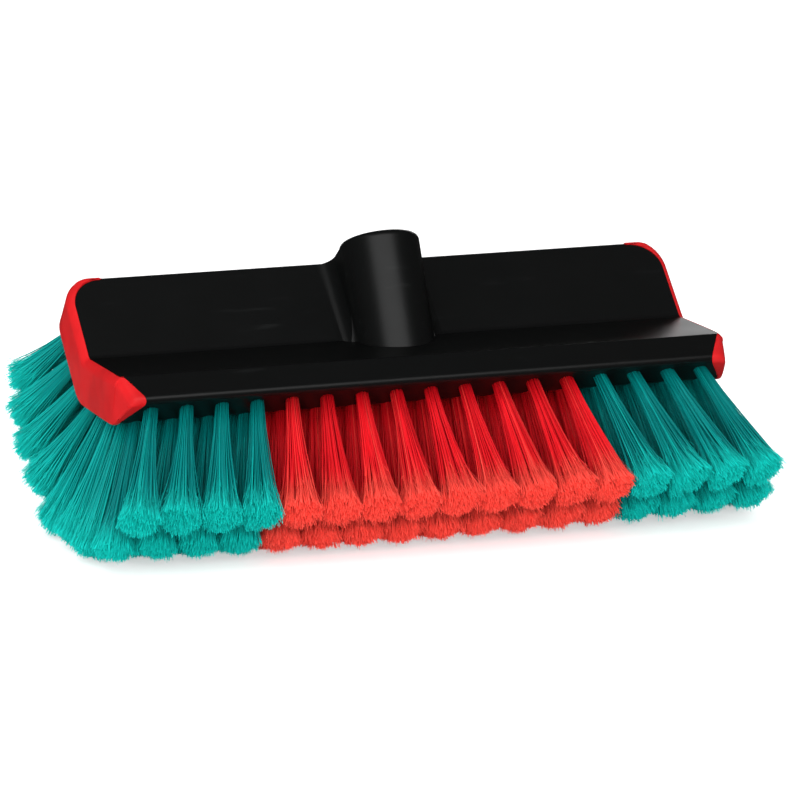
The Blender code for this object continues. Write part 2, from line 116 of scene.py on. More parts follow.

# Filament shading: where along a strand, or for which shades, a value runs from its
# low to its high, and the two values. The darker root is painted shade near the block;
# the paler tip and the brighter very ends are painted light, scattered in the split hairs.
ROOT_SHADE = (0.28, 0.0)
TIP_LIGHT = (0.50, 0.96)
TIP_WANDER = 0.26
LIGHTNESS = (0.0, 1.0, 0.90, 1.12)
# Painted light: the strands' very ends are brighter still
PAINTED_END_LIGHT = (0.88, 1.0, 1.0, 1.25)
BRIGHT_SHADES = (0.86, 1.0, 0.0, 0.45)
STRAND_ROUGHNESS = (0.6, 1.0, 0.42, 0.7)


# Settings that a user would change


def length(name, default, description):
    return FloatProperty(
        name=name, description=description, default=default, unit="LENGTH", precision=5
    )


def angle(name, degrees, description):
    return FloatProperty(
        name=name, description=description, default=math.radians(degrees), subtype="ANGLE"
    )


def share(name, default, description):
    return FloatProperty(
        name=name, description=description, default=default, min=0, max=1, subtype="FACTOR"
    )


def colour(name, displayed, description):
    return FloatVectorProperty(
        name=name,
        description=description,
        default=tuple(linear(level) for level in displayed),
        min=0,
        max=1,
        size=3,
        subtype="COLOR",
    )


def linear(level):
    """A displayed colour value from 0 to 255 as a linear one from 0 to 1."""
    part = level / 255
    if part <= 0.04045:
        return part / 12.92
    return ((part + 0.055) / 1.055) ** 2.4


class BlockSettings(bpy.types.PropertyGroup):
    """Section and outline of the bent block."""

    length: length("Length", 0.2812, "Over both bumpers")
    thickness: length("Thickness", 0.0205, "Through wing and flange")
    wing_width: length("Wing width", 0.0425, "From crease to top edge")
    wing_lean: angle("Wing lean", 46, "From upright")
    flange_width: length("Flange width", 0.045, "From crease to ridge")
    ridge_rise: length("Ridge rise", 0.0008, "Of the ridge over the crease")
    nose_reach: length("Nose reach", 0.057, "From crease to nose")
    nose_drop: length("Nose drop", 0.008, "Of the nose under the crease")
    base_front: length("Base front", 0.041, "Where the flat base starts")
    crease_radius: length("Crease radius", 0.004, "Between wing and flange")
    wing_front_radius: length("Wing front radius", 0.002, "Front top edge")
    wing_back_radius: length("Wing back radius", 0.004, "Back top edge")
    ridge_radius: length("Ridge radius", 0.0015, "Along the ridge")
    nose_radius: length("Nose radius", 0.0025, "Along the nose")
    base_front_radius: length("Base front radius", 0.008, "Under the nose")
    base_back_radius: length("Base back radius", 0.016, "Behind the base")
    colour: colour("Colour", (9, 10, 10), "Moulded plastic")


class BumperSettings(bpy.types.PropertyGroup):
    """Soft pieces on the block's ends."""

    band: length("Band", 0.0032, "Of bumper beyond the block's end")
    top_band: length("Top band", 0.0016, "Of bumper over the wing's top corner")
    top_reach: length("Top reach", 0.0010, "Along the wing's top edge")
    proud: length("Proud", 0.0005, "Of bumper over the block's faces")
    corner_radius: length("Corner radius", 0.015, "Of the wing's top corner")
    front_rounding: length("Front rounding", 0.0048, "Of the end, on its front side")
    back_rounding: length("Back rounding", 0.0010, "Of the end, on its back side")
    nose_corner: length("Nose corner", 0.014, "Length of the cut-off nose corner")
    nose_cut: length("Nose cut", 0.0045, "Depth of the bumper's nose corner")
    block_nose_cut: length("Block nose cut", 0.0090, "Depth of the block's nose corner")
    seam: length("Seam", 0.00012, "Between block and bumper")
    edge_radius: length("Edge radius", 0.0004, "Softening of its edges")
    colour: colour("Colour", (202, 18, 23), "Soft red rubber")


class SocketSettings(bpy.types.PropertyGroup):
    """Handle socket and the fairing that joins it to the wing."""

    diameter: length("Diameter", 0.0356, "Outside")
    lean: angle("Lean", 26, "From upright, to the back")
    mouth_back: length("Mouth back", 0.0159, "Mouth centre behind the crease")
    mouth_height: length("Mouth height", 0.0410, "Mouth centre over the crease")
    rim_radius: length("Rim radius", 0.0030, "Round the mouth's outer edge")
    bore: length("Bore", 0.0246, "Width at the mouth")
    bore_taper: length("Bore taper", 0.0012, "Less width at the bottom")
    bore_depth: length("Bore depth", 0.036, "Along the socket")
    bore_chamfer: length("Bore chamfer", 0.0010, "At the mouth")
    fairing_drop: length("Fairing drop", 0.0018, "From the mouth to the fairing's top")
    fairing_sink: length("Fairing sink", 0.0050, "Of the fairing into the wing")
    fairing_foot: length("Fairing foot", 0.0085, "From the crease, down the wing")
    tuck: length("Tuck", 0.00005, "Of the fairing's sides under the socket's")
    top_margin: length("Top margin", 0.0012, "Of the fairing under the wing's edge")
    flare: length("Flare", 0.0080, "Of the fairing's foot on the wing")
    flare_sink: length("Flare sink", 0.00012, "Of the foot's edge into the wing")
    edge_radius: length("Edge radius", 0.0006, "Softening of the fairing's top")


class TuftSettings(bpy.types.PropertyGroup):
    """Rows, tufts and filaments."""

    length: length("Tuft length", 0.060, "Of a straight free tuft")
    first_inset: length("First row inset", 0.0052, "From the nose, along the tuft side")
    last_inset: length("Last row inset", 0.0070, "From the wing's top edge")
    end_inset: length("End tuft inset", 0.0110, "From the brush's end")
    front_end_inset: length("Front end inset", 0.0148, "The same, in the front row")
    end_splay: angle("End splay", 19.8, "Of the outermost tufts")
    front_end_splay: angle("Front end splay", 17.5, "The same, in the front rows")
    each_side: IntProperty(name="Tufts each side", description="Of the middle", default=8)
    red_each_side: IntProperty(name="Red tufts each side", description="Of it", default=4)
    root_radius: length("Root radius", 0.0027, "Of a tuft where it leaves the block")
    tip_radius_x: length("Tip radius along", 0.0082, "Of its spread tip, along the brush")
    tip_radius_y: length("Tip radius across", 0.0105, "The same, across the row")
    back_narrowing: share("Back narrowing", 0.20, "Of the same, in the rows behind")
    flare: FloatProperty(name="Flare", description="How late it spreads", default=1.8)
    # Painted light: the outermost tufts behind the front rows take only paler shades, for
    # the light through the fanned end tufts
    end_tuft_light: share("End paleness", 0.95, "Of the outermost tufts' filaments")
    dome: share("Dome", 0.05, "How much shorter the outermost filaments are")
    stray_share: share("Stray share", 0.04, "Of the filaments that stand off")
    filaments: IntProperty(name="Filaments", description="In one tuft", default=150)
    filament_radius: length("Filament radius", 0.00023, "Of a whole filament")
    hairs: IntProperty(name="Split hairs", description="On one filament", default=12)
    hair_radius: length("Hair radius", 0.00014, "Of a split hair at its end")
    short_share: share("Short share", 0.25, "Of the split hairs that end early")
    split: share("Split", 0.62, "Where along the tuft the tips start to split")
    hair_fan: length("Hair fan", 0.0020, "How far a split hair strays")
    red: colour("Red", (229, 25, 36), "Body of the red filaments")
    # Painted shade: the root colours are darker for the shade near the block
    red_root_shade: colour("Red root", (208, 14, 26), "The same, near the block")
    # Painted light: the tip colours are paler for light scattered in the split hairs
    red_tip_light: colour("Red tip", (236, 80, 68), "Split tips of the red filaments")
    teal: colour("Teal", (0, 130, 128), "Body of the teal filaments")
    # Painted shade: darker near the block
    teal_root_shade: colour("Teal root", (0, 124, 122), "The same, near the block")
    # Painted light: paler for light scattered in the split hairs
    teal_tip_light: colour("Teal tip", (9, 185, 176), "Split tips of the teal filaments")


class StageSettings(bpy.types.PropertyGroup):
    """Camera, light and floor."""

    azimuth: angle("Camera azimuth", -20, "To the left of straight ahead")
    elevation: angle("Camera elevation", 12, "Above the floor")
    distance: length("Camera distance", 2.3, "To the aim point")
    lens: FloatProperty(
        name="Lens", description="Focal length", default=239.1, unit="CAMERA"
    )
    aim_right: length("Aim right", 0.001973, "Of the crease's middle")
    aim_up: length("Aim up", -0.025296, "Of the crease's middle")
    lamp_aim: length("Lamp aim", 0.06, "Height that the lamps point at")
    room_level: share("Room level", 0.66, "Even light from all round")
    dark_level: share("Dark level", 0.03, "The same, as a glossy surface sees it")
    floor_size: length("Floor size", 9, "Each way")
    floor_colour: colour("Floor", (246, 246, 246), "Plain pale floor")


GROUPS = {
    "wash_brush_block": BlockSettings,
    "wash_brush_bumper": BumperSettings,
    "wash_brush_socket": SocketSettings,
    "wash_brush_tuft": TuftSettings,
    "wash_brush_stage": StageSettings,
}


# Outlines: a corner is (first coordinate, second coordinate, radius)


def cross(a, b):
    return a.x * b.y - a.y * b.x


def right_of(along):
    return Vector((along.y, -along.x))


def meeting_point(point_a, along_a, point_b, along_b):
    """Where two lines of the plane cross."""
    offset = point_b - point_a
    return point_a + along_a * (cross(offset, along_b) / cross(along_a, along_b))


def grow_corners(corners, distances):
    """Move each edge of an anticlockwise outline out by its own distance."""
    points = [Vector(corner[:2]) for corner in corners]
    alongs = [(b - a).normalized() for a, b in zip(points, points[1:] + points[:1])]
    grown = []
    for i, point in enumerate(points):
        before, after = alongs[i - 1], alongs[i]
        start = point + right_of(before) * distances[i - 1]
        end = point + right_of(after) * distances[i]
        moved = meeting_point(start, before, end, after)
        mean = (distances[i - 1] + distances[i]) / 2
        radius = corners[i][2] + math.copysign(1, cross(before, after)) * mean
        grown.append((moved.x, moved.y, max(radius, 0)))
    return grown


def rounded_corner(corners, i, steps=None):
    """The points that round one corner off, and their outward directions."""
    point = Vector(corners[i][:2])
    radius = corners[i][2]
    before = (point - Vector(corners[i - 1][:2])).normalized()
    after = (Vector(corners[(i + 1) % len(corners)][:2]) - point).normalized()
    turn = math.atan2(cross(before, after), before.dot(after))
    reach = radius * math.tan(abs(turn) / 2)
    side = math.copysign(1, turn)
    centre = point - before * reach - right_of(before) * radius * side
    steps = steps or max(1, math.ceil(abs(turn) / ARC_STEP))
    points = []
    for k in range(steps + 1):
        out = Matrix.Rotation(turn * k / steps, 2) @ right_of(before)
        points.append((centre + out * radius * side, out))
    return points


def rounded_outline(corners):
    """All points of an outline; a sharp corner gives one point."""
    points = []
    for i, corner in enumerate(corners):
        arc = rounded_corner(corners, i)
        points += [point for point, _ in (arc if corner[2] > 0 else arc[:1])]
    return points


class Section:
    """The block's section, as (y, z) points round the crease."""

    def __init__(self, size):
        lean = size.wing_lean
        self.up_wing = Vector((math.sin(lean), math.cos(lean)))
        self.through_wing = Vector((math.cos(lean), -math.sin(lean)))
        top = self.up_wing * size.wing_width
        back = top + self.through_wing * size.thickness
        base = meeting_point(
            back, self.up_wing, Vector((0, -size.thickness)), Vector((1, 0))
        )
        self.corners = [
            (top.x, top.y, size.wing_front_radius),
            (0, 0, size.crease_radius),
            (-size.flange_width, size.ridge_rise, size.ridge_radius),
            (-size.nose_reach, -size.nose_drop, size.nose_radius),
            (-size.base_front, -size.thickness, size.base_front_radius),
            (base.x, base.y, size.base_back_radius),
            (back.x, back.y, size.wing_back_radius),
        ]
        self.tuft_side = [
            rounded_corner(self.corners, NOSE)[-1],
            *rounded_corner(self.corners, BASE_FRONT),
            *rounded_corner(self.corners, BASE_BACK),
            rounded_corner(self.corners, WING_BACK)[0],
        ]
        self.lengths = [0.0]
        for (a, _), (b, _) in zip(self.tuft_side, self.tuft_side[1:]):
            self.lengths.append(self.lengths[-1] + (b - a).length)

    def at(self, along):
        """Point at a length along the side that carries the tufts."""
        k = int(np.searchsorted(self.lengths, along).clip(1, len(self.lengths) - 1))
        start, end = self.tuft_side[k - 1][0], self.tuft_side[k][0]
        part = (along - self.lengths[k - 1]) / (self.lengths[k] - self.lengths[k - 1])
        return start.lerp(end, part)

    def wing_edge(self, along):
        """A point up the wing's front face, in the middle of the brush."""
        return Vector((0, *(self.up_wing * along)))

    def wing_frame(self):
        """Outline x stays X, outline y runs up the wing, height runs through it."""
        return columns((1, 0, 0), (0, *self.up_wing), (0, *self.through_wing))

    def cross_frame(self):
        """Outline x stays X, outline y stands out of the wing, height runs up it."""
        return columns((1, 0, 0), (0, *-self.through_wing), (0, *self.up_wing))


def columns(*axes):
    """The matrix that turns X, Y and Z on to three given axes."""
    return Matrix(axes).transposed().to_4x4()


ALONG_X = columns((0, 1, 0), (0, 0, 1), (1, 0, 0))


def crease_place(scene):
    """Where the middle of the crease lies, from the frame's socket rim."""
    rim = next(m for m in frame["record"]["mounts"] if m["name"] == "socket_rim")
    socket = scene.wash_brush_socket
    _, y, z = rim["pos_m"]
    return Vector((0, y - socket.mouth_back, z - socket.mouth_height))


# Solids


def add_object(name, body, outward=True):
    """Turn a bmesh into an object of the scene and free the bmesh."""
    if outward:
        bmesh.ops.recalc_face_normals(body, faces=body.faces)
    mesh = bpy.data.meshes.new(name)
    body.to_mesh(mesh)
    body.free()
    return link_object(name, mesh)


def link_object(name, data):
    item = bpy.data.objects.new(name, data)
    bpy.context.scene.collection.objects.link(item)
    return item


def modify(item, kind, **settings):
    """Add one modifier to a piece and apply it."""
    step = item.modifiers.new(kind, kind)
    for name, value in settings.items():
        setattr(step, name, value)
    graph = bpy.context.evaluated_depsgraph_get()
    mesh = bpy.data.meshes.new_from_object(item.evaluated_get(graph))
    item.modifiers.clear()
    old = item.data
    item.data = mesh
    bpy.data.meshes.remove(old)


def combine(item, others, operation):
    """Apply one Boolean step for each other object and delete that object."""
    for other in others:
        modify(item, "BOOLEAN", operation=operation, solver="EXACT", object=other)
        bpy.data.objects.remove(other, do_unlink=True)


def add_prism(name, outline, start, end, turn=ALONG_X):
    """Extrude an outline; turn takes (outline, outline, height) into space."""
    body = bmesh.new()
    verts = [body.verts.new(turn @ Vector((p[0], p[1], start))) for p in outline]
    face = body.faces.new(verts)
    moved = bmesh.ops.extrude_face_region(body, geom=[face])
    tops = [g for g in moved["geom"] if isinstance(g, bmesh.types.BMVert)]
    rise = turn.to_3x3() @ Vector((0, 0, end - start))
    bmesh.ops.translate(body, vec=rise, verts=tops)
    return add_object(name, body)


def turned_body(rings, sides):
    """Turned solid of (radius, height) rings, closed by its two end faces."""
    body = bmesh.new()
    chain = [body.verts.new((radius, 0, height)) for radius, height in rings]
    edges = [body.edges.new(pair) for pair in zip(chain, chain[1:])]
    bmesh.ops.spin(
        body,
        geom=chain + edges,
        cent=(0, 0, 0),
        axis=(0, 0, 1),
        angle=math.tau,
        steps=sides,
        use_merge=True,
    )
    bmesh.ops.remove_doubles(body, verts=body.verts, dist=TINY_LENGTH)
    bmesh.ops.holes_fill(body, edges=body.edges, sides=0)
    return body


def add_turned(name, rings, place):
    body = turned_body(rings, SOCKET_SIDES)
    body.transform(place)
    return add_object(name, body)


def finish_piece(item, material, slot, node, edge_radius=0):
    """Soften a moulded piece's edges and even out its shading, then place it."""
    item.data.shade_smooth()
    if edge_radius:
        modify(
            item,
            "BEVEL",
            width=edge_radius,
            segments=BUMPER_EDGE_STEPS,
            limit_method="ANGLE",
            angle_limit=BEVEL_LIMIT,
            use_clamp_overlap=False,
            miter_outer="MITER_ARC",
        )
    item.data.set_sharp_from_angle(angle=SMOOTH_LIMIT)
    modify(item, "WEIGHTED_NORMAL", keep_sharp=True)
    place_piece(item, material, slot, node)


def place_piece(item, material, slot, node):
    """Move a piece to the frame's place, give it its material and hide the CAD part it
    stands for.
    """
    item.data.transform(Matrix.Translation(crease_place(bpy.context.scene)))
    item.data.materials.clear()
    item.data.materials.append(material)
    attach(item, "root")
    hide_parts(node)


# Room inside the ends of the block


def mirrored_outline(right):
    """An outline from the corners of its right half, which start in front."""
    left = [(-x, y, radius) for x, y, radius in reversed(right)]
    return rounded_outline(left[-1:] + right + left[:-1])


def wing_room(section, block, bumper, half, clearance):
    """Room inside the wing's end outline, whose top is open in the middle."""
    radius = bumper.corner_radius - bumper.band / 2
    top = block.wing_width - bumper.top_band + clearance
    shoulder = half - radius - (bumper.top_reach - clearance)
    below, above = -block.nose_reach - OVERRUN, top + OVERRUN
    right = [(half, below, 0), (half, top, radius), (shoulder, top, 0), (shoulder, above, 0)]
    depth = block.thickness + OVERRUN + block.nose_reach
    outline = mirrored_outline(right)
    return add_prism("wing_room", outline, -depth, depth, section.wing_frame())


def plan_room(block, bumper, half):
    """Room inside the plan outline, whose front corners are cut off."""
    cut, corner = bumper.block_nose_cut, bumper.nose_corner
    start = -block.nose_reach + corner
    far_half = half - cut * (corner + OVERRUN) / corner
    front = -block.nose_reach - OVERRUN
    back = block.wing_width + block.thickness + OVERRUN
    right = [(far_half, front, 0), (half, start, corner / 2), (half, back, 0)]
    return add_prism("plan_room", mirrored_outline(right), -back, back, Matrix())


def block_rooms(section, block, bumper, clearance):
    half = block.length / 2 - bumper.band + clearance
    wing = wing_room(section, block, bumper, half, clearance)
    return wing, plan_room(block, bumper, half)


# Block with its socket


def quarter_turns(steps, first=0):
    """Angles that cut a quarter turn into even steps."""
    return [math.pi / 2 * k / steps for k in range(first, steps + 1)]


def socket_frame(socket):
    """Height runs along the socket's axis, from the mouth's centre outwards."""
    turn = Matrix.Rotation(-socket.lean, 4, "X")
    mouth = Vector((0, socket.mouth_back, socket.mouth_height))
    return Matrix.Translation(mouth) @ turn


def add_socket(socket, block):
    """The socket's outside, with a rounded rim, down to the middle of the flange."""
    radius, rim = socket.diameter / 2, socket.rim_radius
    below = block.thickness / 2
    bottom = -(socket.mouth_height + below) / math.cos(socket.lean)
    rings = [(radius, bottom), (radius, -rim)]
    for turned in quarter_turns(RIM_STEPS, 1):
        rings.append((radius - rim * (1 - math.cos(turned)), rim * (math.sin(turned) - 1)))
    shell = add_turned("socket", rings, socket_frame(socket))
    reach = socket.diameter + OVERRUN
    corners = [(-reach, -reach), (reach, -reach), (reach, reach), (-reach, reach)]
    cutter = add_prism("cutter", corners, -below - reach, -below, Matrix())
    combine(shell, [cutter], "DIFFERENCE")
    return shell


def fairing_blank(socket, section, block):
    """The fairing before its top is cut: a bar up the wing with a flared foot."""
    narrow = socket.diameter / 2 - socket.tuck
    flare, sink = socket.flare, socket.flare_sink
    side = [(narrow + flare, -socket.fairing_sink)]
    for turned in quarter_turns(FLARE_STEPS):
        out = flare * (1 - math.cos(turned)) - sink
        side.append((narrow + flare * (1 - math.sin(turned)), out))
    side.append((narrow, socket.diameter * 2))
    outline = side + [(-x, out) for x, out in reversed(side)]
    low, high = -socket.fairing_foot, block.wing_width + OVERRUN
    return add_prism("fairing", outline, low, high, section.cross_frame())


def add_fairing(socket, section, block):
    """The web behind the socket, hollowed where it runs out on the wing."""
    web = fairing_blank(socket, section, block)
    place = socket_frame(socket)
    edge = section.wing_edge(block.wing_width - socket.top_margin)
    rim = place @ Vector((0, 0, -socket.fairing_drop))
    foot = place @ Vector((0, 0, -socket.bore_depth * 2))
    body = bmesh.new()
    body.from_mesh(web.data)
    for start, end in ((edge, rim), (rim, foot)):
        along = end - start
        cut = bmesh.ops.bisect_plane(
            body,
            geom=body.verts[:] + body.edges[:] + body.faces[:],
            plane_co=start,
            plane_no=Vector((0, along.z, -along.y)),
            clear_outer=True,
        )
        outline = [g for g in cut["geom_cut"] if isinstance(g, bmesh.types.BMEdge)]
        bmesh.ops.holes_fill(body, edges=outline, sides=0)
        if end is rim:
            bmesh.ops.bevel(
                body,
                geom=outline,
                offset=socket.edge_radius,
                offset_type="OFFSET",
                segments=FAIRING_EDGE_STEPS,
                profile=0.5,
                affect="EDGES",
                material=-1,
            )
    bmesh.ops.recalc_face_normals(body, faces=body.faces)
    body.to_mesh(web.data)
    body.free()
    return web


def add_bore(socket):
    mouth = socket.bore / 2
    rings = [
        (mouth - socket.bore_taper / 2, -socket.bore_depth),
        (mouth, -socket.bore_chamfer),
        (mouth + socket.bore_chamfer, 0),
        (mouth + socket.bore_chamfer, OVERRUN),
    ]
    return add_turned("bore", rings, socket_frame(socket))


class BuildBlock(bpy.types.Operator):
    """Build the bent block with its handle socket"""

    bl_idname = "wash_brush.build_block"
    bl_label = "Block with socket"

    def execute(self, context):
        scene = context.scene
        block, bumper = scene.wash_brush_block, scene.wash_brush_bumper
        socket = scene.wash_brush_socket
        section = Section(block)
        half = block.length / 2
        item = add_prism("block", rounded_outline(section.corners), -half, half)
        combine(item, block_rooms(section, block, bumper, 0), "INTERSECT")
        extras = [add_socket(socket, block), add_fairing(socket, section, block)]
        combine(item, extras, "UNION")
        combine(item, [add_bore(socket)], "DIFFERENCE")
        finish_piece(item, black_plastic(block), "black_plastic", "brush_back")
        return {"FINISHED"}


class BumperShape:
    """The bumper's outside: its section, the outline of its end, and its rounding."""

    def __init__(self, section, block, bumper):
        self.section, self.block, self.bumper = section, block, bumper
        self.known = {}
        self.half = block.length / 2
        self.middle = block.wing_width + bumper.proud - bumper.corner_radius
        self.points = self.profile(0, 0)
        self.count = len(self.points)

    def profile(self, front, back):
        """The section's outline with its front and back drawn in."""
        key = (round(front, 6), round(back, 6))
        if key not in self.known:
            self.known[key] = self.drawn_in(front, back)
        return self.known[key]

    def drawn_in(self, front, back):
        proud = self.bumper.proud
        distances = [proud - back] * 6 + [proud]
        for edge in (WING_TOP, CREASE, RIDGE):
            distances[edge] = proud - front
        corners = grow_corners(self.section.corners, distances)
        arcs = [
            [point for point, _ in rounded_corner(corners, i, CORNER_STEPS)]
            for i in range(len(corners))
        ]
        points = []
        for parts, arc, following in zip(EDGE_POINTS, arcs, arcs[1:] + arcs[:1]):
            points += arc
            points += [arc[-1].lerp(following[0], k / parts) for k in range(1, parts)]
        return points

    def end(self, point):
        """How far the outline of the end reaches at a point of the section."""
        bumper = self.bumper
        up = point.dot(self.section.up_wing) - self.middle
        reach = self.half
        if up > 0:
            radius = bumper.corner_radius
            reach += math.sqrt(max(radius**2 - up**2, 0)) - radius
        start = -self.block.nose_reach + bumper.nose_corner
        soft = bumper.nose_corner / 4
        ahead = (start - point.x) / soft
        ahead = soft * (math.log1p(math.exp(-abs(ahead))) + max(ahead, 0))
        return reach - bumper.nose_cut / bumper.nose_corner * ahead

    def distances(self):
        """How far from the end each ring of the grid lies, from its start on."""
        rounding = self.bumper.front_rounding
        turns = quarter_turns(BUMPER_END_STEPS)
        rings = [rounding * (1 - math.sin(turned)) for turned in turns]
        return [self.bumper.corner_radius, rounding * 2, *rings]

    def place(self, i, from_end):
        """Where one point of the section comes to lie near the end."""
        point = self.points[i]
        bumper = self.bumper
        x = self.end(point) - from_end
        up = point.dot(self.section.up_wing) - self.middle
        over = max(x - (self.half - bumper.corner_radius), 0)
        near, part = from_end, 1.0
        if up > 0:
            near = bumper.corner_radius - math.hypot(over, up)
            part = over**2 / (over**2 + up**2 + TINY_AREA)
        insets = []
        for rounding in (bumper.front_rounding * part, bumper.back_rounding * part):
            into = 1 - min(max(near, 0) / rounding, 1) if rounding > TINY_LENGTH else 0
            insets.append(rounding * (1 - math.sqrt(1 - into**2)))
        return Vector((x, *self.profile(*insets)[i]))

    def blank(self, side):
        """The block's section, a little proud, with its end rounded all round."""
        body = bmesh.new()
        loops = []
        for from_end in self.distances():
            points = [self.place(i, from_end) for i in range(self.count)]
            loops.append([body.verts.new((side * p.x, p.y, p.z)) for p in points])
        for low, high in zip(loops, loops[1:]):
            for i in range(self.count):
                k = (i + 1) % self.count
                body.faces.new((low[i], low[k], high[k], high[i]))
        body.faces.new(loops[0])
        end, half = loops[-1], self.count // 2
        for i in range(half - 1):
            body.faces.new((end[i], end[i + 1], end[-i - 2], end[-i - 1]))
        body.faces.new((end[half - 1], end[half], end[half + 1]))
        return add_object("bumper", body)


class BuildBumpers(bpy.types.Operator):
    """Build the two soft end bumpers"""

    bl_idname = "wash_brush.build_bumpers"
    bl_label = "End bumpers"

    def execute(self, context):
        scene = context.scene
        block, bumper = scene.wash_brush_block, scene.wash_brush_bumper
        section = Section(block)
        shape = BumperShape(section, block, bumper)
        material = red_rubber(bumper)
        for word, side in SIDES:
            item = shape.blank(side)
            inner, plan = block_rooms(section, block, bumper, bumper.seam)
            combine(inner, [plan], "INTERSECT")
            combine(item, [inner], "DIFFERENCE")
            item.name = f"{word}_end_bumper"
            node = f"{word}_bumper"
            finish_piece(item, material, "red_rubber", node, bumper.edge_radius)
        return {"FINISHED"}


# Tufts


class Strand:
    """A closed thin strand as arrays, to be laid along many paths at once."""

    def __init__(self, stations):
        last = stations - 1
        rings = [(1, level) for level in range(last)] + [(0, last)]
        body = turned_body(rings, STRAND_SIDES)
        bmesh.ops.recalc_face_normals(body, faces=body.faces)
        body.verts.index_update()
        self.points = np.array([v.co for v in body.verts])
        self.station = np.rint(self.points[:, 2]).astype(int)
        self.sizes = np.array([len(f.verts) for f in body.faces])
        self.corners = np.array([v.index for f in body.faces for v in f.verts])
        around = [turn for face in body.faces for turn in self.turns(face)]
        self.around = np.clip(np.array(around), 0, 1)
        body.free()

    def turns(self, face):
        """Where each corner of a face lies round the strand, as a share of a turn."""
        middle = face.calc_center_median()
        facing = math.atan2(middle.y, middle.x)
        for vert in face.verts:
            turn = 0.0
            if vert.co.xy.length > 0.5 and middle.xy.length > 0.1:
                turn = math.atan2(vert.co.y, vert.co.x) - facing
                turn = (turn + math.pi) % math.tau - math.pi
            yield (facing + turn) / math.tau + 0.5

    def lay(self, centres, radii, across, up):
        """Vertex places of strands along centres of shape (strand, station, 3)."""
        x = self.points[:, 0, None]
        y = self.points[:, 1, None]
        turned = across[:, None] * x + up[:, None] * y
        return centres[:, self.station] + turned * radii[self.station][None, :, None]


FILAMENT = Strand(len(FILAMENT_STATIONS))
HAIR = Strand(len(HAIR_STATIONS))


class TuftRows:
    """Where each tuft stands, how it leans and how long it is."""

    def __init__(self, scene):
        self.size = scene.wash_brush_tuft
        self.block = scene.wash_brush_block
        self.section = Section(self.block)
        self.floor = -crease_place(scene).z
        lowest = math.cos(ROW_LEANS[LOWEST_ROW - 1])
        self.standing = -(self.block.thickness + self.size.length * lowest)

    def root(self, row, column):
        size = self.size
        room = self.section.lengths[-1] - size.first_inset - size.last_inset
        station = size.first_inset + (row - 1) * room / (len(ROW_LEANS) - 1)
        inset = size.front_end_inset if row == 1 else size.end_inset
        pitch = (self.block.length / 2 - inset) / size.each_side
        return np.array((column * pitch, *self.section.at(station)))

    def directions(self, row, column):
        """Along the tuft, sideways from it along the brush, and across the row."""
        lean, size = ROW_LEANS[row - 1], self.size
        splay = size.front_end_splay if row <= FRONT_ROWS else size.end_splay
        splay *= column / size.each_side
        out = np.array((0, math.sin(lean), -math.cos(lean)))
        over = np.array((0, math.cos(lean), math.sin(lean)))
        x = np.array((1.0, 0, 0))
        along = out * math.cos(splay) + x * math.sin(splay)
        return along, x * math.cos(splay) - out * math.sin(splay), over

    def length(self, row, root):
        if row in FREE_LENGTH_SHARES:
            return self.size.length * FREE_LENGTH_SHARES[row]
        return (root[2] - self.standing) / math.cos(ROW_LEANS[row - 1])


def disc_points(count, rng):
    """Evenly spread points of the unit disc, slightly shaken."""
    k = np.arange(count) + 0.5
    radius = np.sqrt(k / count)
    turn = k * math.pi * (3 - math.sqrt(5)) + rng.normal(0, TURN_SHAKE, count)
    radius = radius * (1 + rng.normal(0, RADIUS_SHAKE, count))
    return np.stack([radius * np.cos(turn), radius * np.sin(turn)], 1)


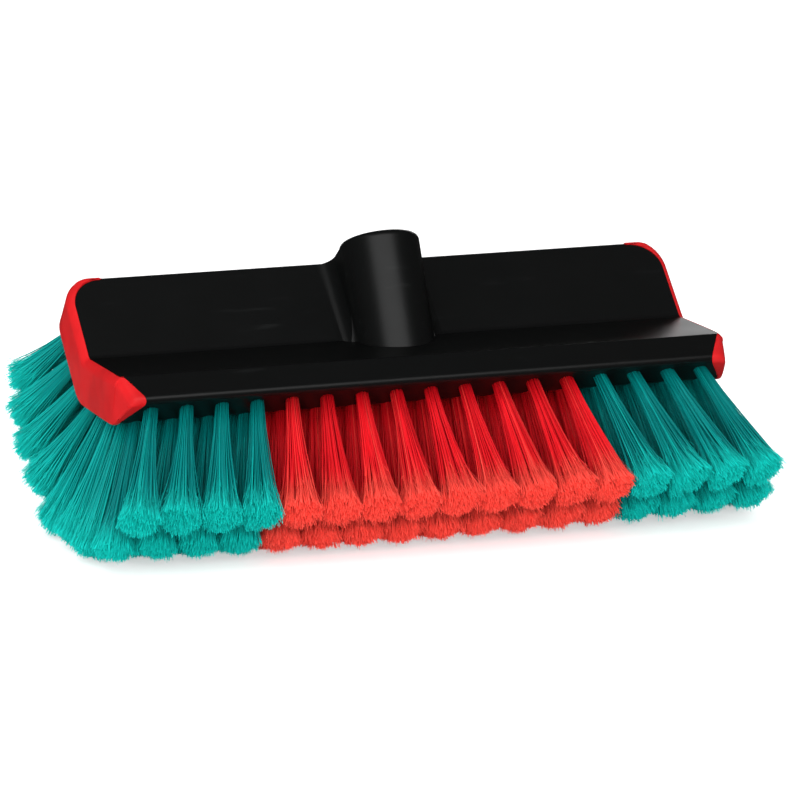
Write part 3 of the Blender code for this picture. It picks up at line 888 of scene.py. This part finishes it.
class Tuft:
    """One tuft's filaments and split hairs, in the crease's frame."""

    def __init__(self, rows, row, column):
        size = self.size = rows.size
        rng = self.rng = np.random.default_rng(1000 * row + column + 500)
        self.floor = rows.floor
        self.root = rows.root(row, column)
        self.along, self.across, self.over = rows.directions(row, column)
        count = size.filaments
        self.spots = disc_points(count, rng)
        self.bow = rng.normal(0, BOW, (count, 2))
        wild = rng.random((count, 1)) > 1 - size.stray_share
        self.stray = rng.normal(0, STRAY, (count, 2)) * (1 + STAND_OFF * wild)
        reach = rows.length(row, self.root)
        self.lengths = reach * (1 + rng.normal(0, LENGTH_SPREAD, count))
        self.lengths *= 1 - size.dome * (self.spots**2).sum(1)
        narrowed = 1 - size.back_narrowing * (row >= BACK_ROWS)
        self.wide = np.array((size.tip_radius_x, size.tip_radius_y * narrowed))
        # Painted light: the outermost tufts behind the front rows keep to the paler shades
        outer = max(0, abs(column) - size.each_side + 2) / 2 * (row > FRONT_ROWS)
        self.darkest = int(SHADES * size.end_tuft_light * outer)

    def points(self, which, t):
        """Points of some filaments at shares t of their length."""
        narrow = self.size.root_radius
        spread = np.clip(t, 0, None)[..., None] ** self.size.flare
        side = self.spots[which] * (narrow + (self.wide - narrow) * spread)
        side += self.bow[which] * np.sin(np.pi * np.clip(t, 0, 1))[..., None]
        side += self.stray[which] * spread
        reached = self.lengths[which] * t
        spanned = self.across * side[..., 0, None] + self.over * side[..., 1, None]
        return self.root + self.along * reached[..., None] + spanned

    def sideways(self, turn):
        return self.across * np.cos(turn) + self.over * np.sin(turn)

    def hair_paths(self):
        """Centre lines of the split hairs, and where along the tuft they start and end."""
        size, rng = self.size, self.rng
        owner = np.repeat(np.arange(size.filaments), size.hairs)
        number = len(owner)
        start = size.split + (LAST_SPLIT - size.split) * np.sqrt(rng.random(number))
        tip = 1 + rng.normal(0, HAIR_END_SPREAD, number)
        end = np.where(rng.random(number) < size.short_share, start + SHORT_HAIR, tip)
        t = end[:, None] + (start - end)[:, None] * HAIR_STATIONS
        hairs = self.points(owner[:, None], t)
        off = self.sideways(rng.uniform(0, math.tau, number)[:, None])
        fan = size.hair_fan * np.sqrt(rng.random(number))
        hairs += off[:, None] * fan[:, None, None] * (1 - HAIR_STATIONS[None, :, None])
        return hairs, start, end

    def weave(self, work):
        """Add this tuft's strands to a piece."""
        filaments = self.points(np.arange(len(self.spots))[:, None], FILAMENT_STATIONS)
        hairs, start, end = self.hair_paths()
        shades = self.rng.integers(self.darkest, SHADES, len(filaments))
        hair_shades = self.rng.integers(self.darkest, SHADES, len(hairs))
        widths = FILAMENT_TAPER * self.size.filament_radius
        self.lay(work, FILAMENT, filaments, widths, shades, 0.0, 1.0)
        widths = HAIR_TAPER * self.size.hair_radius
        self.lay(work, HAIR, hairs, widths, hair_shades, end, start)

    def lay(self, work, strand, paths, widths, shades, low, high):
        """Lay one strand along each path, and keep it above the floor."""
        count = len(paths)
        turn = self.rng.uniform(0, math.tau, count)[:, None]
        up = self.over * np.cos(turn) - self.across * np.sin(turn)
        places = strand.lay(paths, widths, self.sideways(turn), up)
        lift = self.rng.uniform(LIFT_LOW, LIFT_HIGH, (count, 1))
        places[..., 2] = np.maximum(places[..., 2], self.floor + lift)
        low, high = np.broadcast_to(low, count), np.broadcast_to(high, count)
        work.add(strand, places, shades, low, high)


class Brushwork:
    """Gathers the vertices, faces and strand map of one piece of many strands."""

    def __init__(self):
        self.parts = []
        self.count = 0

    def add(self, strand, places, shade, low, high):
        """Strands with vertex places of shape (strand, vertex, 3)."""
        number, per = places.shape[:2]
        offsets = self.count + per * np.arange(number)
        inside = MAP_MARGIN + (1 - 2 * MAP_MARGIN) * strand.around
        u = (shade[:, None] + inside) / SHADES
        height = strand.station / strand.station.max()
        v = low[:, None] + (high - low)[:, None] * height[strand.corners]
        v = v + MAP_SLANT * strand.around
        corners = (strand.corners + offsets[:, None]).ravel()
        smooth = np.full(number * len(strand.sizes), strand is FILAMENT)
        uv = np.stack([u, v], -1).reshape(-1, 2)
        sizes = np.tile(strand.sizes, number)
        self.parts.append((places.reshape(-1, 3), corners, uv, sizes, smooth))
        self.count += number * per

    def add_to_scene(self, name):
        places, corners, uv, sizes, smooth = map(np.concatenate, zip(*self.parts))
        starts = np.concatenate(([0], np.cumsum(sizes)[:-1]))
        mesh = bpy.data.meshes.new(name)
        mesh.vertices.add(len(places))
        mesh.loops.add(len(corners))
        mesh.polygons.add(len(sizes))
        mesh.vertices.foreach_set("co", places.astype(np.float32).ravel())
        mesh.loops.foreach_set("vertex_index", corners.astype(np.int32))
        mesh.polygons.foreach_set("loop_start", starts.astype(np.int32))
        mesh.polygons.foreach_set("use_smooth", smooth)
        mesh.update(calc_edges=True)
        strand_map = mesh.uv_layers.new(name=STRAND_MAP)
        uv = uv.clip(0, MAP_TOP).astype(np.float32)
        strand_map.uv.foreach_set("vector", uv.ravel())
        mesh.validate()
        return link_object(name, mesh)


class BuildTufts(bpy.types.Operator):
    """Build the nine rows of tufts, in three colour groups a row"""

    bl_idname = "wash_brush.build_tufts"
    bl_label = "Tufts"

    def execute(self, context):
        rows = TuftRows(context.scene)
        size = rows.size
        red = bristle("red_bristle", size.red_root_shade, size.red, size.red_tip_light)
        teal = bristle("teal_bristle", size.teal_root_shade, size.teal, size.teal_tip_light)
        last, inner = size.each_side, size.red_each_side
        groups = (
            ("left", range(-last, -inner), teal, "teal_bristle"),
            ("middle", range(-inner, inner + 1), red, "red_bristle"),
            ("right", range(inner + 1, last + 1), teal, "teal_bristle"),
        )
        for row in range(1, len(ROW_LEANS) + 1):
            for word, tufts, material, slot in groups:
                work = Brushwork()
                for column in tufts:
                    Tuft(rows, row, column).weave(work)
                item = work.add_to_scene(f"row{row}_{word}_tufts")
                place_piece(item, material, slot, f"bristles_row{row}_{word}")
        return {"FINISHED"}


# Materials


def new_material(name):
    material = bpy.data.materials.new(name)
    material.use_nodes = True
    return material, material.node_tree, material.node_tree.nodes["Principled BSDF"]


def new_group(name, inputs, outputs):
    """A shader node group with its named sockets."""
    group = bpy.data.node_groups.new(name, "ShaderNodeTree")
    for label, kind, default in inputs:
        socket = group.interface.new_socket(label, in_out="INPUT", socket_type=kind)
        socket.default_value = default
    for label, kind in outputs:
        group.interface.new_socket(label, in_out="OUTPUT", socket_type=kind)
    return group, group.nodes.new("NodeGroupInput"), group.nodes.new("NodeGroupOutput")


def feed(tree, socket, value):
    """Link a socket to another one, or set it where a plain value is given."""
    if isinstance(value, bpy.types.NodeSocket):
        tree.links.new(value, socket)
    else:
        socket.default_value = value


def set_inputs(tree, node, **inputs):
    for name, value in inputs.items():
        feed(tree, node.inputs[name.replace("_", " ")], value)
    return node


def add_node(tree, kind, **inputs):
    return set_inputs(tree, tree.nodes.new(f"ShaderNode{kind}"), **inputs)


def use_group(tree, group, **inputs):
    node = add_node(tree, "Group")
    node.node_tree = group
    return set_inputs(tree, node, **inputs)


def math_node(tree, operation, *values, clamp=False):
    node = add_node(tree, "Math")
    node.operation = operation
    node.use_clamp = clamp
    for socket, value in zip(node.inputs, values):
        feed(tree, socket, value)
    return node.outputs[0]


def ramp(tree, value, low, high, start=0.0, end=1.0):
    """A value that runs smoothly from start to end while another passes low to high."""
    node = add_node(tree, "MapRange", Value=value, From_Min=low, From_Max=high)
    set_inputs(tree, node, To_Min=start, To_Max=end)
    node.interpolation_type = "SMOOTHSTEP"
    return node.outputs["Result"]


def blend_colour(tree, factor, first, second, mode="MIX"):
    node = add_node(tree, "Mix")
    node.data_type = "RGBA"
    node.blend_type = mode
    for place, value in ((0, factor), (6, first), (7, second)):
        feed(tree, node.inputs[place], value)
    return node.outputs[2]


def noise(tree, place, scale, detail):
    node = add_node(tree, "TexNoise", Vector=place, Scale=scale, Detail=detail)
    return node.outputs["Fac"]


def moulded_surface():
    """Soft grain and slight unevenness of a moulded surface."""
    name = "moulded_surface"
    if name in bpy.data.node_groups:
        return bpy.data.node_groups[name]
    group, given, result = new_group(
        name,
        [
            ("Grain Scale", "NodeSocketFloat", 1500.0),
            ("Grain Depth", "NodeSocketFloat", 0.1),
            ("Roughness", "NodeSocketFloat", 0.35),
            ("Unevenness", "NodeSocketFloat", 0.08),
        ],
        [("Roughness", "NodeSocketFloat"), ("Normal", "NodeSocketVector")],
    )
    place = add_node(group, "TexCoord").outputs["Object"]
    grain = noise(group, place, given.outputs["Grain Scale"], 2)
    patches = noise(group, place, 45, 3)
    centred = math_node(group, "SUBTRACT", patches, 0.5)
    scaled = math_node(group, "MULTIPLY", centred, given.outputs["Unevenness"])
    rough = math_node(group, "ADD", scaled, given.outputs["Roughness"], clamp=True)
    depth = given.outputs["Grain Depth"]
    bump = add_node(group, "Bump", Distance=0.0001, Height=grain, Strength=depth)
    set_inputs(group, result, Roughness=rough, Normal=bump.outputs["Normal"])
    return group


def moulded(name, base, second, patches, specular, **surface):
    """A moulded material; its patches of a second tone start and are full at a level."""
    material, tree, shader = new_material(name)
    skin = use_group(tree, moulded_surface(), **surface).outputs
    along_x, scale, detail, start, full = patches
    place = add_node(tree, "TexCoord").outputs["Object"]
    stretched = add_node(tree, "Mapping", Vector=place, Scale=(along_x, 1, 1))
    tone = ramp(tree, noise(tree, stretched.outputs[0], scale, detail), start, full)
    mixed = blend_colour(tree, tone, (*base, 1), (*second, 1))
    set_inputs(tree, shader, Base_Color=mixed, Specular_IOR_Level=specular)
    set_inputs(tree, shader, Roughness=skin["Roughness"], Normal=skin["Normal"])
    return material


def black_plastic(block):
    """Satin moulded plastic with faint painted sheen in lighter patches, long ones along the
    brush.
    """
    return moulded(
        "black_plastic",
        base=block.colour,
        # Painted sheen: lighter patches stretched along the brush
        second=[c * 2.2 + 0.002 for c in block.colour],
        patches=(0.12, 260, 5, 0.62, 0.80),
        specular=0.5,
        Grain_Scale=1800,
        Grain_Depth=0.10,
        Roughness=0.36,
        Unevenness=0.10,
    )


def red_rubber(bumper):
    """Smooth satin rubber, faintly uneven in tone."""
    return moulded(
        "red_rubber",
        base=bumper.colour,
        second=[c * 0.82 for c in bumper.colour],
        patches=(1, 60, 3, 0.35, 0.7),
        specular=0.3,
        Grain_Scale=1100,
        Grain_Depth=0.14,
        Roughness=0.42,
        Unevenness=0.12,
    )


def filament_shading():
    """Colour of a filament from its root, painted darker as shade near the block, to its
    split tip, painted paler as scattered light; each a little different.
    """
    name = "filament_shading"
    if name in bpy.data.node_groups:
        return bpy.data.node_groups[name]
    grey = (0.5, 0.5, 0.5, 1)
    group, given, result = new_group(
        name,
        [(label, "NodeSocketColor", grey) for label in ("Root", "Body", "Tip")],
        [("Color", "NodeSocketColor"), ("Roughness", "NodeSocketFloat")],
    )
    root, body, tip = (given.outputs[label] for label in ("Root", "Body", "Tip"))
    strand_map = add_node(group, "UVMap")
    strand_map.uv_map = STRAND_MAP
    parts = add_node(group, "SeparateXYZ", Vector=strand_map.outputs["UV"])
    column = math_node(group, "MULTIPLY", parts.outputs["X"], SHADES)
    column = math_node(group, "FLOOR", column)
    chance = math_node(group, "DIVIDE", column, SHADES - 1)
    along = parts.outputs["Y"]
    wander = math_node(group, "MULTIPLY_ADD", chance, TIP_WANDER, -TIP_WANDER / 2)
    # Painted light: the colour runs paler towards the split tip
    to_lit_tip = ramp(group, math_node(group, "ADD", along, wander), *TIP_LIGHT)
    # Painted shade: the colour runs darker towards the root, near the block
    root_shaded = blend_colour(group, ramp(group, along, *ROOT_SHADE), body, root)
    tip_lit = blend_colour(group, to_lit_tip, root_shaded, tip)
    # Painted light: each strand is brighter still over its very end
    light, end_light = ramp(group, chance, *LIGHTNESS), ramp(group, along, *PAINTED_END_LIGHT)
    light = math_node(group, "MULTIPLY", light, end_light)
    tone = add_node(group, "CombineXYZ", X=light, Y=light, Z=light)
    shaded = blend_colour(group, 1.0, tip_lit, tone.outputs[0], "MULTIPLY")
    streaked = blend_colour(group, ramp(group, chance, *BRIGHT_SHADES), shaded, tip)
    rough = ramp(group, along, *STRAND_ROUGHNESS)
    set_inputs(group, result, Color=streaked, Roughness=rough)
    return group


def bristle(name, root, body, tip):
    """Fine filaments whose tips are split and painted paler, as light scattered in the split
    hairs.
    """
    material, tree, shader = new_material(name)
    tones = {"Root": (*root, 1), "Body": (*body, 1), "Tip": (*tip, 1)}
    shading = use_group(tree, filament_shading(), **tones).outputs
    set_inputs(tree, shader, Base_Color=shading["Color"], Specular_IOR_Level=0.2)
    set_inputs(tree, shader, Roughness=shading["Roughness"])
    return material


# Stage


def direction(azimuth, elevation):
    """Unit vector from the brush towards a place; azimuth 0 is the front."""
    flat = math.cos(elevation)
    x, y = math.sin(azimuth) * flat, -math.cos(azimuth) * flat
    return Vector((x, y, math.sin(elevation)))


class BuildStage(bpy.types.Operator):
    """Set up the floor, the light and the camera"""

    bl_idname = "wash_brush.build_stage"
    bl_label = "Floor, light and camera"

    def execute(self, context):
        scene = context.scene
        stage = scene.wash_brush_stage
        self.add_floor(stage)
        self.add_world(scene, stage)
        self.add_camera(scene, stage)
        for name, azimuth, elevation, distance, size, power, shine, fill in (
            ("front_softbox", -14, 40, 1.5, (1.9, 1.0), 8, True, True),
            ("left_softbox", -84, 56, 1.6, (0.6, 0.5), 0.5, True, True),
            ("right_strip", 150, 15, 0.95, (0.45, 0.20), 0.6, True, False),
            ("room_light", -20, 12, 2.4, (2.4, 1.4), 44, False, True),
            ("side_light", -84, 8, 2.4, (1.6, 1.0), 15, False, True),
            ("back_light", 160, 40, 2.4, (2.4, 1.6), 7, False, True),
        ):
            lamp = self.add_lamp(name, size, power)
            away = direction(math.radians(azimuth), math.radians(elevation))
            lamp.location = Vector((0, 0, stage.lamp_aim)) + away * distance
            lamp.rotation_euler = away.to_track_quat("Z", "Y").to_euler()
            lamp.visible_glossy, lamp.visible_diffuse = shine, fill
        scene.view_settings.view_transform = "Standard"
        return {"FINISHED"}

    def add_camera(self, scene, stage):
        data = bpy.data.cameras.new("camera")
        data.lens = stage.lens
        data.sensor_width = 36
        data.clip_end = 100
        camera = link_object("camera", data)
        back = direction(stage.azimuth, stage.elevation)
        right = Vector((math.cos(stage.azimuth), math.sin(stage.azimuth), 0))
        up = back.cross(right)
        aim = crease_place(scene) + right * stage.aim_right + up * stage.aim_up
        place = Matrix.Translation(aim + back * stage.distance)
        camera.matrix_world = place @ columns(right, up, back)
        scene.camera = camera

    def add_lamp(self, name, size, power):
        data = bpy.data.lights.new(name, "AREA")
        data.shape = "RECTANGLE"
        data.size, data.size_y = size
        data.energy = power
        return link_object(name, data)

    def add_floor(self, stage):
        """A pale floor that glows a little to the camera and keeps its shadows."""
        body = bmesh.new()
        bmesh.ops.create_grid(body, x_segments=1, y_segments=1, size=stage.floor_size / 2)
        floor = add_object("floor", body, outward=False)
        material, tree, shader = new_material("pale_floor")
        set_inputs(tree, shader, Base_Color=(*stage.floor_colour, 1))
        set_inputs(tree, shader, Roughness=0.9, Specular_IOR_Level=0.1)
        glow = add_node(tree, "Emission", Strength=0.5)
        both = tree.nodes.new("ShaderNodeAddShader")
        choice = tree.nodes.new("ShaderNodeMixShader")
        seen = add_node(tree, "LightPath").outputs["Is Camera Ray"]
        for node, sources in (
            (both, (shader.outputs[0], glow.outputs[0])),
            (choice, (seen, shader.outputs[0], both.outputs[0])),
            (tree.nodes["Material Output"], (choice.outputs[0],)),
        ):
            for socket, source in zip(node.inputs, sources):
                tree.links.new(source, socket)
        floor.data.materials.append(material)
        floor.visible_glossy = False

    def add_world(self, scene, stage):
        """Even soft light; what shines sees a dark room."""
        world = bpy.data.worlds.new("studio")
        scene.world = world
        world.use_nodes = True
        tree = world.node_tree
        rays = add_node(tree, "LightPath").outputs
        level = add_node(tree, "Mix", A=stage.room_level, B=stage.dark_level)
        feed(tree, level.inputs[0], rays["Is Glossy Ray"])
        strength = math_node(tree, "MAXIMUM", level.outputs[0], rays["Is Camera Ray"])
        background = tree.nodes["Background"]
        set_inputs(tree, background, Color=(1, 1, 1, 1), Strength=strength)


class WashBrushPanel(bpy.types.Panel):
    """Builds the brush piece by piece"""

    bl_idname = "VIEW3D_PT_wash_brush"
    bl_label = "Wash brush"
    bl_space_type = "VIEW_3D"
    bl_region_type = "UI"
    bl_category = "Wash brush"

    def draw(self, context):
        for operator in OPERATORS:
            self.layout.operator(operator.bl_idname)


OPERATORS = (BuildBlock, BuildBumpers, BuildTufts, BuildStage)


def register():
    for name, group in GROUPS.items():
        bpy.utils.register_class(group)
        setattr(bpy.types.Scene, name, PointerProperty(type=group))
    for operator in OPERATORS:
        bpy.utils.register_class(operator)
    bpy.utils.register_class(WashBrushPanel)


def unregister():
    bpy.utils.unregister_class(WashBrushPanel)
    for operator in reversed(OPERATORS):
        bpy.utils.unregister_class(operator)
    for name, group in GROUPS.items():
        delattr(bpy.types.Scene, name)
        bpy.utils.unregister_class(group)


def write_sizes():
    import json


def main():
    register()
    bpy.ops.wash_brush.build_block()
    bpy.ops.wash_brush.build_bumpers()
    bpy.ops.wash_brush.build_tufts()
    bpy.ops.wash_brush.build_stage()
    write_sizes()


if __name__ == "__main__":
    main()
